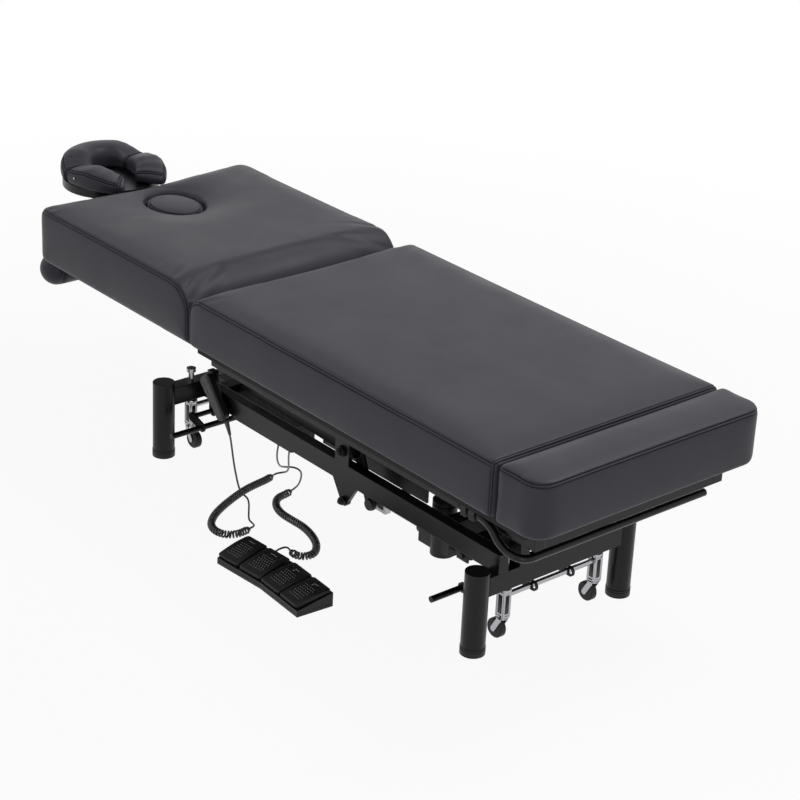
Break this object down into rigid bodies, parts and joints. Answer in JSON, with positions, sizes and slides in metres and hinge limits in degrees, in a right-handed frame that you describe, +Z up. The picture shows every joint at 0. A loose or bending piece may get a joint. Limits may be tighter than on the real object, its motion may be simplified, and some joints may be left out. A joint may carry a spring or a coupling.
{
  "type": "electric lift treatment table",
  "caption": "Electric lift treatment table: parallel-arm lift base on legs, padded bed with tilting back, lift-out face plug, adjustable face cradle, roll holder, retracted casters, hand and foot controls.",
  "frame": {"origin": "on the floor, in the middle of the floor area that the table covers without its cords, at its lowest height and lying flat", "axes": "+X toward the foot end, +Y away from the side with the foot control, +Z up"},
  "size_m": [2.331, 0.838, 0.648],
  "materials": {
    "vinyl": "satin",
    "frame_paint": "satin",
    "board": "matte",
    "pin_steel": "satin",
    "chrome": "polished",
    "wheel_rubber": "satin",
    "cap_plastic": "matte",
    "case_plastic": "matte",
    "handset_plastic": "matte",
    "cord_rubber": "satin"
  },
  "bodies": {
    "base": {"leg_posts": "frame_paint", "leg_caps": "cap_plastic", "cross_beams": "frame_paint", "base_rails": "frame_paint", "base_ties": "frame_paint", "rest_posts": "frame_paint", "pivot_plates": "frame_paint", "base_pivot_pins": "frame_paint", "lift_actuator": "case_plastic", "pedal_hangers": "frame_paint", "control_box": "case_plastic", "handset_body": "handset_plastic", "handset_hook": "frame_paint", "foot_control_base": "case_plastic", "handset_cord": "cord_rubber", "handset_curl": "cord_rubber", "pedal_cord": "cord_rubber", "pedal_curl": "cord_rubber"},
    "head_arms": {"head_lift_arms": "frame_paint"},
    "foot_arms": {"foot_lift_arms": "frame_paint"},
    "lift_rod": {"lift_push_rod": "pin_steel"},
    "bed": {"bed_frame": "frame_paint", "chassis_rails": "frame_paint", "seat_board": "board", "seat_cushion": "vinyl", "foot_cushion": "vinyl", "paper_roll_bar": "frame_paint", "back_actuator": "case_plastic", "back_hinge_brackets": "frame_paint"},
    "back": {"back_frame": "frame_paint", "back_board": "board", "back_cushion": "vinyl", "cradle_sockets": "frame_paint", "arm_bolster": "vinyl"},
    "back_rod": {"back_push_rod": "pin_steel"},
    "plug": {"face_plug": "vinyl"},
    "cradle_slide": {"cradle_carrier": "frame_paint"},
    "cradle_head": {"cradle_platform": "frame_paint", "cradle_pads": "vinyl"},
    "cradle_lever": {"cradle_lever": "cap_plastic"},
    "head_pedal": {"head_caster_pedal": "frame_paint"},
    "head_carriage": {"head_caster_carriage": "chrome"},
    "head_near_fork": {"head_near_fork": "chrome"},
    "head_near_wheel": {"head_near_wheel": "wheel_rubber"},
    "head_far_fork": {"head_far_fork": "chrome"},
    "head_far_wheel": {"head_far_wheel": "wheel_rubber"},
    "foot_pedal": {"foot_caster_pedal": "frame_paint"},
    "foot_carriage": {"foot_caster_carriage": "chrome"},
    "foot_near_fork": {"foot_near_fork": "chrome"},
    "foot_near_wheel": {"foot_near_wheel": "wheel_rubber"},
    "foot_far_fork": {"foot_far_fork": "chrome"},
    "foot_far_wheel": {"foot_far_wheel": "wheel_rubber"},
    "handset_button_1": {"handset_button_1": "handset_plastic"},
    "handset_button_2": {"handset_button_2": "handset_plastic"},
    "handset_button_3": {"handset_button_3": "handset_plastic"},
    "handset_button_4": {"handset_button_4": "handset_plastic"},
    "foot_pedal_1": {"foot_pedal_1": "case_plastic"},
    "foot_pedal_2": {"foot_pedal_2": "case_plastic"},
    "foot_pedal_3": {"foot_pedal_3": "case_plastic"},
    "foot_pedal_4": {"foot_pedal_4": "case_plastic"}
  },
  "joints": [
    {"name": "lift", "type": "hinge", "parent": "base", "child": "head_arms", "pos_m": [0.3005, 0.059, 0.283], "axis": [0, 1, 0], "range_deg": [0, 48]},
    {"name": "foot_arm_pivot", "type": "hinge", "parent": "base", "child": "foot_arms", "pos_m": [0.7905, 0.059, 0.283], "axis": [0, 1, 0], "range_deg": [0, 48]},
    {"name": "bed_level", "type": "hinge", "parent": "head_arms", "child": "bed", "pos_m": [-0.12927, 0.059, 0.297], "axis": [0, 1, 0], "range_deg": [-48, 0]},
    {"name": "lift_rod_slide", "type": "slide", "parent": "base", "child": "lift_rod", "axis": [-1, 0, 0], "range_m": [0, 0.122]},
    {"name": "back_tilt", "type": "hinge", "parent": "bed", "child": "back", "pos_m": [-0.2025, 0.059, 0.511], "axis": [0, 1, 0], "range_deg": [0, 58]},
    {"name": "back_rod_slide", "type": "slide", "parent": "bed", "child": "back_rod", "axis": [-1, 0, 0], "range_m": [0, 0.1261]},
    {"name": "plug_lift", "type": "slide", "parent": "back", "child": "plug", "axis": [0, 0, 1], "range_m": [0, 0.2]},
    {"name": "cradle_reach", "type": "slide", "parent": "back", "child": "cradle_slide", "axis": [-1, 0, 0], "range_m": [0, 0.09]},
    {"name": "cradle_tilt", "type": "hinge", "parent": "cradle_slide", "child": "cradle_head", "pos_m": [-0.9295, 0.059, 0.481], "axis": [0, 1, 0], "range_deg": [-30, 2]},
    {"name": "cradle_lock", "type": "hinge", "parent": "cradle_slide", "child": "cradle_lever", "pos_m": [-0.9295, 0.059, 0.481], "axis": [0, 1, 0], "range_deg": [0, 40]},
    {"name": "head_pedal_lift", "type": "hinge", "parent": "base", "child": "head_pedal", "pos_m": [-0.3455, 0.059, 0.122], "axis": [0, -1, 0], "range_deg": [0, 20.8]},
    {"name": "head_carriage_drop", "type": "slide", "parent": "base", "child": "head_carriage", "axis": [0, 0, -1], "range_m": [0, 0.022]},
    {"name": "head_near_swivel", "type": "hinge", "parent": "head_carriage", "child": "head_near_fork", "pos_m": [-0.4035, -0.091, 0.064], "axis": [0, 0, 1], "continuous": true},
    {"name": "head_near_roll", "type": "hinge", "parent": "head_near_fork", "child": "head_near_wheel", "pos_m": [-0.3865, -0.091, 0.029], "axis": [0, 1, 0], "continuous": true},
    {"name": "head_far_swivel", "type": "hinge", "parent": "head_carriage", "child": "head_far_fork", "pos_m": [-0.4035, 0.209, 0.064], "axis": [0, 0, 1], "continuous": true},
    {"name": "head_far_roll", "type": "hinge", "parent": "head_far_fork", "child": "head_far_wheel", "pos_m": [-0.3865, 0.209, 0.029], "axis": [0, 1, 0], "continuous": true},
    {"name": "foot_pedal_lift", "type": "hinge", "parent": "base", "child": "foot_pedal", "pos_m": [0.8065, 0.059, 0.122], "axis": [0, 1, 0], "range_deg": [0, 20.8]},
    {"name": "foot_carriage_drop", "type": "slide", "parent": "base", "child": "foot_carriage", "axis": [0, 0, -1], "range_m": [0, 0.022]},
    {"name": "foot_near_swivel", "type": "hinge", "parent": "foot_carriage", "child": "foot_near_fork", "pos_m": [0.8645, -0.091, 0.064], "axis": [0, 0, 1], "continuous": true},
    {"name": "foot_near_roll", "type": "hinge", "parent": "foot_near_fork", "child": "foot_near_wheel", "pos_m": [0.8475, -0.091, 0.029], "axis": [0, 1, 0], "continuous": true},
    {"name": "foot_far_swivel", "type": "hinge", "parent": "foot_carriage", "child": "foot_far_fork", "pos_m": [0.8645, 0.209, 0.064], "axis": [0, 0, 1], "continuous": true},
    {"name": "foot_far_roll", "type": "hinge", "parent": "foot_far_fork", "child": "foot_far_wheel", "pos_m": [0.8475, 0.209, 0.029], "axis": [0, 1, 0], "continuous": true},
    {"name": "button_press_1", "type": "slide", "parent": "base", "child": "handset_button_1", "axis": [0, 1, 0], "range_m": [0, 0.001], "stiffness_N_per_m": 300},
    {"name": "button_press_2", "type": "slide", "parent": "base", "child": "handset_button_2", "axis": [0, 1, 0], "range_m": [0, 0.001], "stiffness_N_per_m": 300},
    {"name": "button_press_3", "type": "slide", "parent": "base", "child": "handset_button_3", "axis": [0, 1, 0], "range_m": [0, 0.001], "stiffness_N_per_m": 300},
    {"name": "button_press_4", "type": "slide", "parent": "base", "child": "handset_button_4", "axis": [0, 1, 0], "range_m": [0, 0.001], "stiffness_N_per_m": 300},
    {"name": "pedal_press_1", "type": "hinge", "parent": "base", "child": "foot_pedal_1", "pos_m": [0.20868, -0.32402, 0.03465], "axis": [0.9976, 0.0698, 0], "range_deg": [0, 3], "stiffness_Nm_per_rad": 20},
    {"name": "pedal_press_2", "type": "hinge", "parent": "base", "child": "foot_pedal_2", "pos_m": [0.29093, -0.31827, 0.03465], "axis": [0.9976, 0.0698, 0], "range_deg": [0, 3], "stiffness_Nm_per_rad": 20},
    {"name": "pedal_press_3", "type": "hinge", "parent": "base", "child": "foot_pedal_3", "pos_m": [0.38507, -0.31827, 0.03465], "axis": [0.9976, -0.0698, 0], "range_deg": [0, 3], "stiffness_Nm_per_rad": 20},
    {"name": "pedal_press_4", "type": "hinge", "parent": "base", "child": "foot_pedal_4", "pos_m": [0.46732, -0.32402, 0.03465], "axis": [0.9976, -0.0698, 0], "range_deg": [0, 3], "stiffness_Nm_per_rad": 20}
  ],
  "couplings": [
    {"joint": "foot_arm_pivot", "follows": "lift", "ratio": 1},
    {"joint": "bed_level", "follows": "lift", "ratio": -1},
    {"joint": "lift_rod_slide", "follows": "lift", "m_per_rad": 0.14565},
    {"joint": "back_rod_slide", "follows": "back_tilt", "m_per_rad": 0.12452},
    {"joint": "head_carriage_drop", "follows": "head_pedal_lift", "m_per_rad": 0.0606},
    {"joint": "foot_carriage_drop", "follows": "foot_pedal_lift", "m_per_rad": 0.0606}
  ]
}
